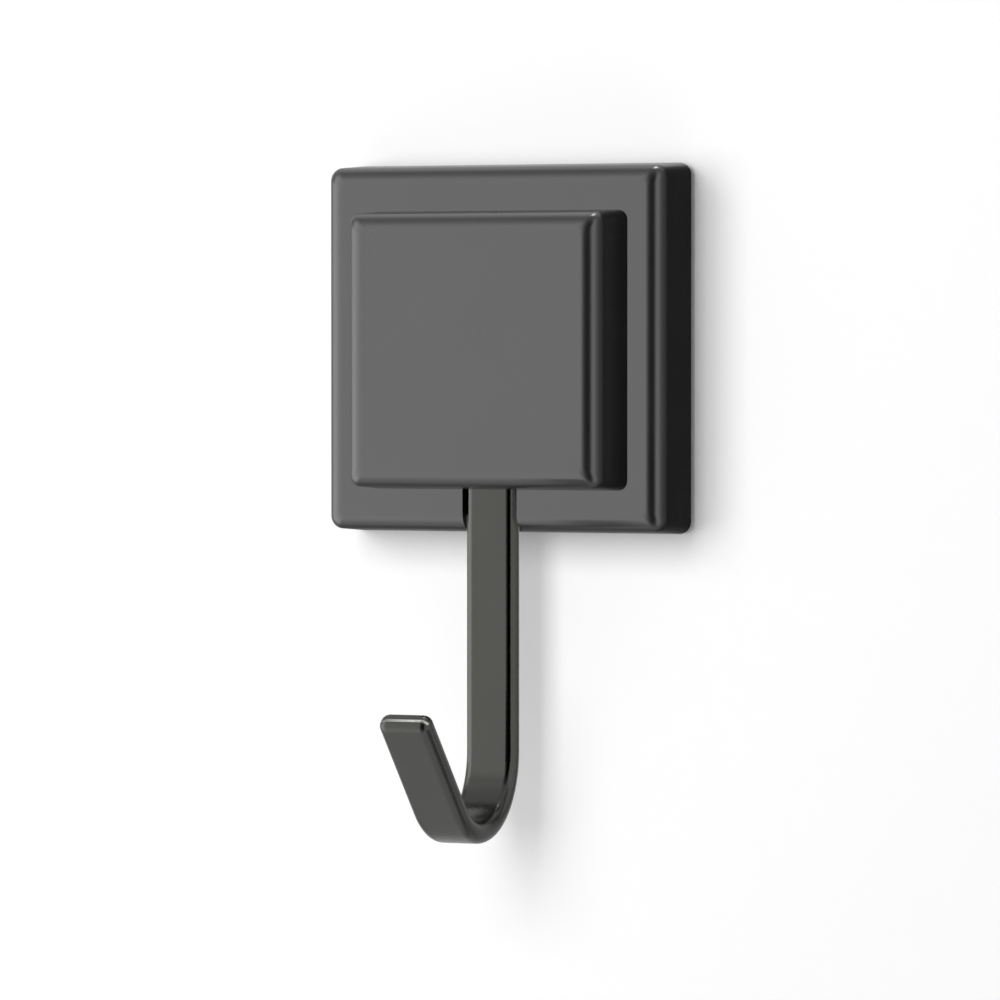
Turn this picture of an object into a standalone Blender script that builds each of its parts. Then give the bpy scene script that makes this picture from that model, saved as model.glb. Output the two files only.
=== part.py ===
"""Adhesive wall hook: a hollow square plate on a foam pad, a square block on its face, and a flat steel bar
that is clamped between the two and bent into a J below them.

Metres, +Z up. The wall is the plane y = 0 and the hook stands out of it towards -Y. The origin is the middle
of the pad's wall face. Depths below are distances from the wall, so a depth d lies at y = -d.
"""

import math

import bmesh
import bpy

# Fits, and how far a boss bites into the wall that it stands on, as a share of that wall
FIT_GAP = 0.0003
CUT_OVERRUN = 0.002
JOIN_BITE_SHARE = 0.25

# Foam pad
PAD_THICKNESS = 0.0008
PAD_MARGIN = 0.003
PAD_CORNER = 0.003

# Plate housing
PLATE_SIDE = 0.060
PLATE_DEPTH = 0.012
PLATE_WALL = 0.0022
PLATE_CORNER = 0.002
EDGE_ROUND = 0.0029
FACE_CORNER = 0.0008
INNER_ROUND = 0.0012
DRAFT_DEG = 3.2

# Back plate
BACK_PLATE_THICKNESS = 0.0018

# Back screws and the bosses that take them
BACK_SCREW_INSET = 0.0075
BACK_SCREW_RADIUS = 0.00125
BACK_SCREW_LENGTH = 0.008
BACK_HEAD_RADIUS = 0.0025
BACK_HEAD_RIM = 0.0003
BACK_HEAD_CONE = 0.00125
BACK_BOSS_RADIUS = 0.0032
BACK_BORE_DEPTH = 0.0068

# Front block, measured off the plate's middle
BLOCK_SIDE = 0.045
BLOCK_DEPTH = 0.0115
BLOCK_WALL = 0.002
BLOCK_SHIFT = 0.0012
BLOCK_DROP = 0.0003
BLOCK_CORNER = 0.0016
BLOCK_EDGE_ROUND = 0.003

# Locating pins on the block
PIN_RADIUS = 0.0018
PIN_INSET = 0.0065
PIN_REACH = 0.0017

# Hook bar, its middle measured off the plate's middle
BAR_SHIFT = -0.0004
BAR_WIDTH = 0.0088
BAR_THICKNESS = 0.0035
BAR_ROUND = 0.0016
BAR_PROUD = 0.0002
TANG_TOP = 0.013
STEM_DROP = 0.0651
BEND_RADIUS = 0.0124
ARM_LENGTH = 0.0211
ARM_LEAN_DEG = 42.6

# Channel in the plate's face
CHANNEL_SIDE_GAP = 0.00035
CHANNEL_FLOOR = 0.0015
CHANNEL_WALL = 0.0016

# Clamp screws, washers and the block's bosses
CLAMP_TOP_INSET = 0.006
CLAMP_SPACING = 0.016
CLAMP_SCREW_RADIUS = 0.0015
CLAMP_HEAD_RADIUS = 0.0028
CLAMP_HEAD_HEIGHT = 0.0018
CLAMP_HEAD_ROUND = 0.0005
CLAMP_BOSS_RADIUS = 0.0034
CLAMP_BITE = 0.0065
WASHER_RADIUS = 0.0034
WASHER_THICKNESS = 0.0006
BORE_SPARE = 0.0007

# Screw tips and drives, the drives as shares of the head they are cut in
TIP_LENGTH = 0.0008
TIP_RADIUS = 0.0005
DRIVE_SPAN_SHARE = 0.62
DRIVE_SLOT_SHARE = 0.17
DRIVE_DEPTH = 0.0007

# Facets
BEVEL_STEPS = 4
BEND_STEPS = 22
TURN_STEPS = 24
SHARP_DEG = 35.0
FLAT_DEG = 1.0
MERGE_DISTANCE = 0.00005

DRAFT = math.tan(math.radians(DRAFT_DEG))
BACK_PLANE = PAD_THICKNESS + FIT_GAP
FACE_PLANE = BACK_PLANE + PLATE_DEPTH
CAVITY_PLANE = FACE_PLANE - PLATE_WALL
BAR_FRONT = FACE_PLANE + BAR_PROUD
BAR_BACK = BAR_FRONT - BAR_THICKNESS
BAR_MIDDLE = (BAR_FRONT + BAR_BACK) / 2
CHANNEL_PLANE = BAR_BACK - FIT_GAP
CHANNEL_WIDTH = BAR_WIDTH + 2 * CHANNEL_SIDE_GAP
TROUGH_PLANE = CHANNEL_PLANE - CHANNEL_FLOOR
BLOCK_BACK = FACE_PLANE + FIT_GAP
BLOCK_FACE = BLOCK_BACK + BLOCK_DEPTH
BLOCK_CAVITY = BLOCK_FACE - BLOCK_WALL
BLOCK_SEAT = BAR_FRONT + FIT_GAP
WASHER_PLANE = TROUGH_PLANE - FIT_GAP
HEAD_PLANE = WASHER_PLANE - WASHER_THICKNESS - FIT_GAP
CLAMP_TIP = BLOCK_SEAT + CLAMP_BITE
CLAMP_HEIGHTS = {
    "upper": TANG_TOP - CLAMP_TOP_INSET,
    "lower": TANG_TOP - CLAMP_TOP_INSET - CLAMP_SPACING,
}
FACING_WALL = (-math.pi / 2, 0, 0)


def clear_scene():
    """Empties the file of objects."""
    for thing in list(bpy.data.objects):
        bpy.data.objects.remove(thing, do_unlink=True)


def new_collection(name):
    """A collection linked to the scene."""
    made = bpy.data.collections.new(name)
    bpy.context.scene.collection.children.link(made)
    return made


def principled(name, colour, roughness, metallic):
    """A Principled material with one colour, roughness and metallic value."""
    made = bpy.data.materials.new(name)
    made.use_nodes = True
    shader = made.node_tree.nodes["Principled BSDF"]
    shader.inputs["Base Color"].default_value = (*colour, 1)
    shader.inputs["Roughness"].default_value = roughness
    shader.inputs["Metallic"].default_value = metallic
    made.diffuse_color = (*colour, 1)
    return made


def new_object(name, mesh, collection, depth=0.0, x=0.0, z=0.0):
    """An object for a mesh, its origin at the given depth from the wall."""
    made = bpy.data.objects.new(name, mesh)
    made.location = (x, -depth, z)
    collection.objects.link(made)
    return made


def finish(thing, material):
    """Gives a sub-part its material and smooth round faces."""
    thing.data.materials.clear()
    thing.data.materials.append(material)
    thing.data.shade_smooth()
    thing.data.set_sharp_from_angle(angle=math.radians(SHARP_DEG))
    return thing


def mesh_from(name, build):
    """A mesh whose geometry the given function puts in a bmesh."""
    working = bmesh.new()
    build(working)
    bmesh.ops.recalc_face_normals(working, faces=working.faces)
    made = bpy.data.meshes.new(name)
    working.to_mesh(made)
    working.free()
    return made


def depth_edges(working):
    """The edges of a box that run from its back to its front."""
    return [e for e in working.edges if abs(e.verts[0].co.y - e.verts[1].co.y) > FIT_GAP]


def box_mesh(name, width, depth, height):
    """A box that reaches from y = 0 to y = -depth."""

    def build(working):
        bmesh.ops.create_cube(working, size=1)
        for vert in working.verts:
            vert.co.x *= width
            vert.co.z *= height
            vert.co.y = -depth if vert.co.y < 0 else 0

    return mesh_from(name, build)


def soften(mesh, width):
    """Rounds a box's front-to-back edges."""
    working = bmesh.new()
    working.from_mesh(mesh)
    chosen = depth_edges(working)
    bmesh.ops.bevel(working, geom=chosen, offset=width, segments=BEVEL_STEPS, profile=0.5, affect="EDGES")
    working.to_mesh(mesh)
    working.free()
    return mesh


def tile_rings(side, depth, corner, rounding, face_corner):
    """Depth, half width and corner radius of a drawn-in tile's rings, from its back to its rounded face."""
    slope = math.radians(DRAFT_DEG)
    centre = depth - rounding
    tangent = centre + rounding * math.sin(slope)
    reach = side / 2 - tangent * DRAFT - rounding * math.cos(slope)
    rings = [(0, side / 2, corner)]
    for step in range(BEVEL_STEPS + 1):
        tilt = slope + (math.pi / 2 - slope) * step / BEVEL_STEPS
        share = 1 - math.cos(tilt) / math.cos(slope)
        out = centre + rounding * math.sin(tilt)
        rings.append((out, reach + rounding * math.cos(tilt), corner + (face_corner - corner) * share))
    return rings


def square_ring(depth, half, corner):
    """Points round a square with rounded corners."""
    points = []
    for quarter, (side, level) in enumerate(((1, 1), (-1, 1), (-1, -1), (1, -1))):
        for step in range(BEVEL_STEPS + 1):
            angle = math.pi / 2 * (quarter + step / BEVEL_STEPS)
            across = side * (half - corner) + corner * math.cos(angle)
            up = level * (half - corner) + corner * math.sin(angle)
            points.append((across, -depth, up))
    return points


def drafted_shape(name, side, depth, corner, rounding, face_corner):
    """A square tile with drawn-in sides, rounded corners and a rounded edge all round its face."""

    def build(working):
        rings = []
        for row in tile_rings(side, depth, corner, rounding, face_corner):
            rings.append([working.verts.new(point) for point in square_ring(*row)])
        for back, front in zip(rings, rings[1:]):
            for i in range(len(back)):
                j = (i + 1) % len(back)
                working.faces.new((back[i], back[j], front[j], front[i]))
        working.faces.new(rings[0])
        working.faces.new(rings[-1])

    return mesh_from(name, build)


def slab(name, side, thickness, corner):
    """A flat square tile with rounded corners."""
    return soften(box_mesh(name, side, thickness, side), corner)


def rod_mesh(name, radius, length):
    """A cylinder that reaches from y = 0 to y = -length."""

    def build(working):
        ends = {"radius1": radius, "radius2": radius, "depth": length}
        bmesh.ops.create_cone(working, cap_ends=True, segments=TURN_STEPS, **ends)
        for vert in working.verts:
            x, y, z = vert.co
            vert.co = (x, z - length / 2, -y)

    return mesh_from(name, build)


def outline_mesh(name, points, thickness):
    """A flat outline made solid: a filled 2D curve, extruded half its thickness each way."""
    curve = bpy.data.curves.new(name, "CURVE")
    curve.dimensions = "2D"
    curve.fill_mode = "BOTH"
    curve.extrude = thickness / 2
    spline = curve.splines.new("POLY")
    spline.points.add(len(points) - 1)
    spline.use_cyclic_u = True
    for point, (x, y) in zip(spline.points, points):
        point.co = (x, y, 0, 1)
    carrier = bpy.data.objects.new(name, curve)
    bpy.context.scene.collection.objects.link(carrier)
    evaluated = carrier.evaluated_get(bpy.context.evaluated_depsgraph_get())
    made = bpy.data.meshes.new_from_object(evaluated)
    bpy.data.objects.remove(carrier, do_unlink=True)
    working = bmesh.new()
    working.from_mesh(made)
    bmesh.ops.remove_doubles(working, verts=working.verts, dist=MERGE_DISTANCE)
    flat = math.radians(FLAT_DEG)
    bmesh.ops.dissolve_limit(working, angle_limit=flat, verts=working.verts, edges=working.edges)
    bmesh.ops.recalc_face_normals(working, faces=working.faces)
    working.to_mesh(made)
    working.free()
    return made


def turned(name, profile, collection, closed, **place):
    """A turned shape: a profile run down its outer side, swept about its own upright axis."""
    mesh = bpy.data.meshes.new(name)
    edges = [(i, i + 1) for i in range(len(profile) - 1)]
    if closed:
        edges.append((len(profile) - 1, 0))
    mesh.from_pydata([(r, 0, z) for r, z in profile], edges, [])
    made = new_object(name, mesh, collection, **place)
    made.rotation_euler = FACING_WALL
    sweep = made.modifiers.new("turn", "SCREW")
    sweep.axis = "Z"
    sweep.steps = TURN_STEPS
    sweep.render_steps = TURN_STEPS
    sweep.use_merge_vertices = True
    sweep.merge_threshold = MERGE_DISTANCE
    sweep.use_smooth_shade = True
    return made


def boolean(thing, tool, operation):
    """Cuts or joins a tool, which stays behind as a guide."""
    modifier = thing.modifiers.new(tool.name, "BOOLEAN")
    modifier.operation = operation
    modifier.solver = "EXACT"
    modifier.object = tool
    tool.hide_render = True
    tool.display_type = "WIRE"


class Builder:
    """Keeps the two collections, and makes the tools that shape the parts."""

    def __init__(self):
        self.parts = new_collection("adhesive_wall_hook")
        self.tools = new_collection("cutters")

    def part(self, name, mesh, material, depth, x=0.0, z=0.0):
        return finish(new_object(name, mesh, self.parts, depth, x, z), material)

    def cut(self, thing, name, mesh, depth, x=0.0, z=0.0):
        boolean(thing, new_object(name, mesh, self.tools, depth, x, z), "DIFFERENCE")

    def join(self, thing, name, mesh, depth, x=0.0, z=0.0):
        boolean(thing, new_object(name, mesh, self.tools, depth, x, z), "UNION")

    def hollow(self, thing, side, back, floor, wall, x=0.0, z=0.0):
        """Takes out the inside of a tile, from its open back to the inside of its face."""
        start = back - CUT_OVERRUN
        inner_side = side - 2 * wall + 2 * CUT_OVERRUN * DRAFT
        name = "hollow_of_" + thing.name
        mesh = drafted_shape(name, inner_side, floor - start, INNER_ROUND, INNER_ROUND, FACE_CORNER)
        self.cut(thing, mesh.name, mesh, start, x, z)

    def drive(self, screw, head_radius, depth, x, z):
        """Cuts a cross slot in a screw's head, which faces the wall."""
        span = 2 * head_radius * DRIVE_SPAN_SHARE
        slot = 2 * head_radius * DRIVE_SLOT_SHARE
        for way, (width, height) in {"across": (span, slot), "upright": (slot, span)}.items():
            mesh = box_mesh(f"{screw.name}_slot_{way}", width, CUT_OVERRUN + DRIVE_DEPTH, height)
            self.cut(screw, mesh.name, mesh, depth - CUT_OVERRUN, x, z)


def bar_outline():
    """The hook bar seen from its side, as points forward of the wall and above the origin."""
    half = BAR_THICKNESS / 2
    sweep = math.pi - math.radians(ARM_LEAN_DEG)
    centre = BAR_MIDDLE + BEND_RADIUS
    along = (math.sin(sweep) * ARM_LENGTH, -math.cos(sweep) * ARM_LENGTH)

    def side(radius, top):
        arc = []
        for step in range(BEND_STEPS + 1):
            angle = sweep * step / BEND_STEPS
            arc.append((centre - radius * math.cos(angle), -STEM_DROP - radius * math.sin(angle)))
        end = (arc[-1][0] + along[0], arc[-1][1] + along[1])
        return [(centre - radius, top), *arc, end]

    outer = side(BEND_RADIUS + half, TANG_TOP)
    inner = side(BEND_RADIUS - half, TANG_TOP)
    return outer + inner[::-1]


def make_hook_bar(builder, steel):
    """The flat bar: tang in the channel, stem, round bend and leaning arm, with rounded edges."""
    mesh = outline_mesh("hook_bar", bar_outline(), BAR_WIDTH)
    bar = builder.part("hook_bar", mesh, steel, 0.0, BAR_SHIFT)
    bar.rotation_euler = (math.pi / 2, 0, -math.pi / 2)
    rounding = bar.modifiers.new("edges", "BEVEL")
    rounding.width = BAR_ROUND
    rounding.segments = BEVEL_STEPS
    rounding.limit_method = "ANGLE"
    rounding.angle_limit = math.radians(SHARP_DEG)
    for place, height in CLAMP_HEIGHTS.items():
        hole = rod_mesh("bar_hole_" + place, CLAMP_SCREW_RADIUS + FIT_GAP, BAR_THICKNESS + 2 * CUT_OVERRUN)
        builder.cut(bar, hole.name, hole, BAR_BACK - CUT_OVERRUN, BAR_SHIFT, height)


def back_screw_places():
    """The four corners of the plate where a screw holds the back plate."""
    reach = PLATE_SIDE / 2 - BACK_SCREW_INSET
    return [(x, z) for z in (reach, -reach) for x in (-reach, reach)]


def pin_places():
    """The two corners of the block that have a locating pin."""
    reach = BLOCK_SIDE / 2 - PIN_INSET
    return [(BLOCK_SHIFT - reach, reach - BLOCK_DROP), (BLOCK_SHIFT + reach, -reach - BLOCK_DROP)]


def make_plate_housing(builder, plastic):
    """The hollow plate: a shell open at the back, with the bar's channel, four bosses and two pin holes."""
    shell = drafted_shape("plate_housing", PLATE_SIDE, PLATE_DEPTH, PLATE_CORNER, EDGE_ROUND, FACE_CORNER)
    plate = builder.part("plate_housing", shell, plastic, BACK_PLANE)
    builder.hollow(plate, PLATE_SIDE, BACK_PLANE, CAVITY_PLANE, PLATE_WALL)
    bite = PLATE_WALL * JOIN_BITE_SHARE

    top = TANG_TOP + FIT_GAP
    trough_top = top + CHANNEL_WALL
    trough_bottom = -PLATE_SIDE / 2 + PLATE_WALL / 2
    trough_height = trough_top - trough_bottom
    trough_depth = CAVITY_PLANE + bite - TROUGH_PLANE
    trough = box_mesh("trough", CHANNEL_WIDTH + 2 * CHANNEL_WALL, trough_depth, trough_height)
    builder.join(plate, "trough", trough, TROUGH_PLANE, BAR_SHIFT, (trough_top + trough_bottom) / 2)

    boss_start = BACK_PLANE + BACK_PLATE_THICKNESS + FIT_GAP
    for number, (x, z) in enumerate(back_screw_places(), 1):
        boss = rod_mesh(f"back_boss_{number}", BACK_BOSS_RADIUS, CAVITY_PLANE + bite - boss_start)
        builder.join(plate, boss.name, boss, boss_start, x, z)
    for number, (x, z) in enumerate(back_screw_places(), 1):
        bore = rod_mesh(f"back_bore_{number}", BACK_SCREW_RADIUS + FIT_GAP, BACK_BORE_DEPTH + CUT_OVERRUN)
        builder.cut(plate, bore.name, bore, boss_start - CUT_OVERRUN, x, z)

    channel_bottom = -PLATE_SIDE / 2 - CUT_OVERRUN
    channel_depth = FACE_PLANE + CUT_OVERRUN - CHANNEL_PLANE
    channel = box_mesh("channel", CHANNEL_WIDTH, channel_depth, top - channel_bottom)
    builder.cut(plate, "channel", channel, CHANNEL_PLANE, BAR_SHIFT, (top + channel_bottom) / 2)
    for place, height in CLAMP_HEIGHTS.items():
        hole = rod_mesh("floor_hole_" + place, CLAMP_SCREW_RADIUS + FIT_GAP, CHANNEL_FLOOR + 2 * CUT_OVERRUN)
        builder.cut(plate, hole.name, hole, TROUGH_PLANE - CUT_OVERRUN, BAR_SHIFT, height)
    for number, (x, z) in enumerate(pin_places(), 1):
        hole = rod_mesh(f"pin_hole_{number}", PIN_RADIUS + FIT_GAP, PLATE_WALL + 2 * CUT_OVERRUN)
        builder.cut(plate, hole.name, hole, CAVITY_PLANE - CUT_OVERRUN, x, z)


def make_front_block(builder, plastic):
    """The hollow block: bosses that press on the bar, two locating pins and a slot that the bar leaves by."""
    shell = drafted_shape("front_block", BLOCK_SIDE, BLOCK_DEPTH, BLOCK_CORNER, BLOCK_EDGE_ROUND, FACE_CORNER)
    block = builder.part("front_block", shell, plastic, BLOCK_BACK, BLOCK_SHIFT, -BLOCK_DROP)
    builder.hollow(block, BLOCK_SIDE, BLOCK_BACK, BLOCK_CAVITY, BLOCK_WALL, BLOCK_SHIFT, -BLOCK_DROP)
    bite = BLOCK_WALL * JOIN_BITE_SHARE

    for place, height in CLAMP_HEIGHTS.items():
        boss = rod_mesh("clamp_boss_" + place, CLAMP_BOSS_RADIUS, BLOCK_CAVITY + bite - BLOCK_SEAT)
        builder.join(block, boss.name, boss, BLOCK_SEAT, BAR_SHIFT, height)
    for place, height in CLAMP_HEIGHTS.items():
        length = CLAMP_BITE + BORE_SPARE + CUT_OVERRUN
        bore = rod_mesh("clamp_bore_" + place, CLAMP_SCREW_RADIUS + FIT_GAP, length)
        builder.cut(block, bore.name, bore, BLOCK_SEAT - CUT_OVERRUN, BAR_SHIFT, height)
    pin_tip = FACE_PLANE - PIN_REACH
    for number, (x, z) in enumerate(pin_places(), 1):
        pin = rod_mesh(f"pin_{number}", PIN_RADIUS, BLOCK_CAVITY + bite - pin_tip)
        builder.join(block, pin.name, pin, pin_tip, x, z)

    slot_height = BLOCK_WALL + 2 * CUT_OVERRUN
    slot_middle = -BLOCK_SIDE / 2 - BLOCK_DROP + BLOCK_WALL / 2
    slot_depth = BLOCK_SEAT - BLOCK_BACK + CUT_OVERRUN
    slot = box_mesh("bar_slot", BAR_WIDTH + 2 * FIT_GAP, slot_depth, slot_height)
    builder.cut(block, "bar_slot", slot, BLOCK_BACK - CUT_OVERRUN, BAR_SHIFT, slot_middle)


def back_screw_profile(gap, overrun):
    """A countersunk screw's outline, head up, with a gap all round when it is a cutter."""
    head = BACK_HEAD_RADIUS + gap
    shank = BACK_SCREW_RADIUS + gap
    cone_start = -BACK_HEAD_RIM - gap
    cone_end = -BACK_HEAD_RIM - BACK_HEAD_CONE - gap
    tip_start = TIP_LENGTH - BACK_SCREW_LENGTH
    return [
        (0, overrun),
        (head, overrun),
        (head, cone_start),
        (shank, cone_end),
        (shank, tip_start),
        (TIP_RADIUS, -BACK_SCREW_LENGTH),
        (0, -BACK_SCREW_LENGTH),
    ]


def make_back_plate(builder, plastic, zinc):
    """The flat cover behind the hollow plate, and its four countersunk screws."""
    inset = PLATE_WALL + BACK_PLATE_THICKNESS * DRAFT + FIT_GAP
    tile = slab("back_plate", PLATE_SIDE - 2 * inset, BACK_PLATE_THICKNESS, INNER_ROUND + FIT_GAP)
    cover = builder.part("back_plate", tile, plastic, BACK_PLANE)
    for number, (x, z) in enumerate(back_screw_places(), 1):
        profile = back_screw_profile(FIT_GAP, CUT_OVERRUN)
        sink = turned(f"countersink_{number}", profile, builder.tools, False, depth=BACK_PLANE, x=x, z=z)
        boolean(cover, sink, "DIFFERENCE")
    for number, (x, z) in enumerate(back_screw_places(), 1):
        name = f"back_screw_{number}"
        screw = turned(name, back_screw_profile(0, 0), builder.parts, False, depth=BACK_PLANE, x=x, z=z)
        builder.drive(screw, BACK_HEAD_RADIUS, BACK_PLANE, x, z)
        finish(screw, zinc)


def make_clamp_screws(builder, zinc):
    """The two pan-head screws that clamp the bar between plate and block, each with its washer."""
    shank_end = -(CLAMP_TIP - HEAD_PLANE)
    inner = CLAMP_HEAD_RADIUS - CLAMP_HEAD_ROUND
    shoulder = CLAMP_HEAD_HEIGHT - CLAMP_HEAD_ROUND
    screw_profile = [
        (0, CLAMP_HEAD_HEIGHT),
        (inner, CLAMP_HEAD_HEIGHT),
        (CLAMP_HEAD_RADIUS, shoulder),
        (CLAMP_HEAD_RADIUS, 0),
        (CLAMP_SCREW_RADIUS, 0),
        (CLAMP_SCREW_RADIUS, shank_end + TIP_LENGTH),
        (TIP_RADIUS, shank_end),
        (0, shank_end),
    ]
    bore = CLAMP_SCREW_RADIUS + FIT_GAP
    washer_profile = [
        (WASHER_RADIUS, WASHER_THICKNESS),
        (WASHER_RADIUS, 0),
        (bore, 0),
        (bore, WASHER_THICKNESS),
    ]
    for place, height in CLAMP_HEIGHTS.items():
        name = "clamp_screw_" + place
        screw = turned(name, screw_profile, builder.parts, False, depth=HEAD_PLANE, x=BAR_SHIFT, z=height)
        builder.drive(screw, CLAMP_HEAD_RADIUS, HEAD_PLANE - CLAMP_HEAD_HEIGHT, BAR_SHIFT, height)
        finish(screw, zinc)
        name = "clamp_washer_" + place
        washer = turned(name, washer_profile, builder.parts, True, depth=WASHER_PLANE, x=BAR_SHIFT, z=height)
        finish(washer, zinc)


def make_adhesive_pad(builder, foam):
    """The double-sided foam pad between the back plate and the wall."""
    tile = slab("adhesive_pad", PLATE_SIDE - 2 * PAD_MARGIN, PAD_THICKNESS, PAD_CORNER)
    builder.part("adhesive_pad", tile, foam, 0.0)


def main():
    clear_scene()
    builder = Builder()
    plastic = principled("satin_black_plastic", (0.02, 0.02, 0.0205), roughness=0.27, metallic=0)
    cover_plastic = principled("plain_black_plastic", (0.02, 0.02, 0.02), roughness=0.55, metallic=0)
    steel = principled("dark_coated_steel", (0.036, 0.0355, 0.032), roughness=0.25, metallic=0)
    zinc = principled("zinc_plated_steel", (0.6, 0.6, 0.58), roughness=0.35, metallic=1)
    foam = principled("grey_foam", (0.19, 0.19, 0.195), roughness=0.9, metallic=0)
    make_adhesive_pad(builder, foam)
    make_plate_housing(builder, plastic)
    make_back_plate(builder, cover_plastic, zinc)
    make_hook_bar(builder, steel)
    make_front_block(builder, plastic)
    make_clamp_screws(builder, zinc)


main()
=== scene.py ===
"""The looks of the adhesive wall hook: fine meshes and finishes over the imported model, with a wall, a
floor, soft studio light and the camera.

Metres, +Z up. The wall is the plane y = 0 and the hook stands out of it towards -Y. Depths are distances
from the wall, so a depth d lies at y = -d.
"""

import math

import bmesh
import bpy
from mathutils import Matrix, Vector


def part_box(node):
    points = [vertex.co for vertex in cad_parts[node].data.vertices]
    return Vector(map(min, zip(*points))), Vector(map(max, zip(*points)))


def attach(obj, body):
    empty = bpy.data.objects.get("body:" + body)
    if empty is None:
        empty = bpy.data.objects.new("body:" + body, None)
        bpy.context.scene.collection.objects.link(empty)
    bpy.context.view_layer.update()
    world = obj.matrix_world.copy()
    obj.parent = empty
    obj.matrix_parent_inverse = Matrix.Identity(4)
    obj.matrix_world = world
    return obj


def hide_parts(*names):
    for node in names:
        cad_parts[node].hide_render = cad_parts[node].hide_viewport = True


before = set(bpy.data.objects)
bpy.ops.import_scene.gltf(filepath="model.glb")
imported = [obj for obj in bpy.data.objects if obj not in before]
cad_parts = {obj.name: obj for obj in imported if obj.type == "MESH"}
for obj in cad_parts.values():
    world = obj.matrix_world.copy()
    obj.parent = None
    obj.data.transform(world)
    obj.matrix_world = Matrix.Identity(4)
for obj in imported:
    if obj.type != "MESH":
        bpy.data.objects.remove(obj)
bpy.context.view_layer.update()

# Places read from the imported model
PLATE_LOW, PLATE_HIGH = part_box("plate_housing")
BLOCK_LOW, BLOCK_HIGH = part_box("front_block")
BAR_LOW, BAR_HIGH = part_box("hook_bar")
PAD_LOW, PAD_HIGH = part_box("adhesive_pad")
COVER_LOW, COVER_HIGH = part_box("back_plate")
PLATE_BACK = -PLATE_HIGH.y
PLATE_FACE = -PLATE_LOW.y
BLOCK_FACE = -BLOCK_LOW.y
COVER_FACE = -COVER_LOW.y

# Room between pieces, what a cutting shape has to spare, and the draft of the tiles' sides
FIT_GAP = 0.0003
SEAT_GAP = 0.00004
OVERRUN = 0.002
DRAFT = math.radians(3.2)

# Plate housing
PLATE_WALL = 0.0022
PLATE_ROUND = 0.0029
PLATE_CORNER = 0.002
BOSS_RADIUS = 0.0032
BOSS_BORE = 0.00155
BOSS_BORE_DEPTH = 0.0068

# Front block
BLOCK_WALL = 0.002
BLOCK_ROUND = 0.003
BLOCK_CORNER = 0.0016
CLAMP_BOSS_RADIUS = 0.0034
CLAMP_BORE = 0.0018
CLAMP_BORE_DEPTH = 0.0072
PIN_RADIUS = 0.0018
PIN_INSET = 0.0065
PIN_REACH = 0.0017

# Both tiles
FACE_CORNER = 0.0008
INNER_ROUND = 0.0012
RIM_ROUND = 0.00025

# Channel for the bar
CHANNEL_SIDE_GAP = 0.00035
CHANNEL_FLOOR = 0.0015
CHANNEL_WALL = 0.0016
LIP_ROUND = 0.00012

# Hook bar
BAR_THICKNESS = 0.0035
BAR_ROUND = 0.0016
STEM_DROP = 0.0651
BEND_RADIUS = 0.0124
ARM_LENGTH = 0.0211
ARM_LEAN = math.radians(42.6)

# Foam pad
PAD_CORNER = 0.003
PAD_BULGE = 0.00014
PAD_WAVE = 0.00005
PAD_WAVES = 11

# Mesh steps, and how edges are shaded
ROUND_STEPS = 12
CORNER_STEPS = 12
RIM_STEPS = 3
BEND_STEPS = 56
STEM_STEPS = 14
ARM_STEPS = 6
SECTION_STEPS = 8
HOLE_STEPS = 48
PAD_STEPS = 6
PAD_SIDE_STEPS = 40
EDGE_STEPS = 2
SHARP = math.radians(38)
LARGE_FACE_WEIGHT = 100
MERGE_DISTANCE = 0.000002

# Places worked out from these
BAR_BACK = -BAR_HIGH.y
BAR_MIDDLE = BAR_BACK + BAR_THICKNESS / 2
BAR_HALF_WIDTH = (BAR_HIGH.x - BAR_LOW.x) / 2
BAR_X = (BAR_LOW.x + BAR_HIGH.x) / 2
CHANNEL_PLANE = BAR_BACK - FIT_GAP
TROUGH_PLANE = CHANNEL_PLANE - CHANNEL_FLOOR
BLOCK_BACK = PLATE_FACE + SEAT_GAP
BLOCK_SEAT = BAR_BACK + BAR_THICKNESS + FIT_GAP
BLOCK_X = (BLOCK_LOW.x + BLOCK_HIGH.x) / 2
BLOCK_Z = (BLOCK_LOW.z + BLOCK_HIGH.z) / 2

BACK_SCREWS = ["back_screw_1", "back_screw_2", "back_screw_3", "back_screw_4"]
CLAMP_SCREWS = ["clamp_screw_upper", "clamp_screw_lower"]
WASHERS = ["clamp_washer_upper", "clamp_washer_lower"]


def middle(node):
    """Where the middle of a node lies on the wall, as x and z."""
    low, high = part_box(node)
    return (low.x + high.x) / 2, (low.z + high.z) / 2


def new_piece(name, working):
    """An object from a bmesh, with its faces pointing out."""
    bmesh.ops.remove_doubles(working, verts=working.verts, dist=MERGE_DISTANCE)
    bmesh.ops.recalc_face_normals(working, faces=working.faces)
    mesh = bpy.data.meshes.new(name)
    working.to_mesh(mesh)
    working.free()
    made = bpy.data.objects.new(name, mesh)
    bpy.context.scene.collection.objects.link(made)
    return made


def loft(name, rings, closed=False):
    """A mesh through rings of as many points each, its two ends filled unless it closes on itself."""
    working = bmesh.new()
    rows = [[working.verts.new(point) for point in ring] for ring in rings]
    pairs = list(zip(rows, rows[1:]))
    if closed:
        pairs.append((rows[-1], rows[0]))
    for first, second in pairs:
        for i in range(len(first)):
            j = (i + 1) % len(first)
            working.faces.new((first[i], first[j], second[j], second[i]))
    if not closed:
        working.faces.new(rows[0][::-1])
        working.faces.new(rows[-1])
    return new_piece(name, working)


def square_ring(depth, half, corner, x, z):
    """One ring of a tile: a square with rounded corners, its middle at x and z."""
    points = []
    for quarter, (side, level) in enumerate(((1, 1), (-1, 1), (-1, -1), (1, -1))):
        for step in range(CORNER_STEPS + 1):
            angle = math.pi / 2 * (quarter + step / CORNER_STEPS)
            across = side * (half - corner) + corner * math.cos(angle)
            up = level * (half - corner) + corner * math.sin(angle)
            points.append((x + across, -depth, z + up))
    return points


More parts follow.
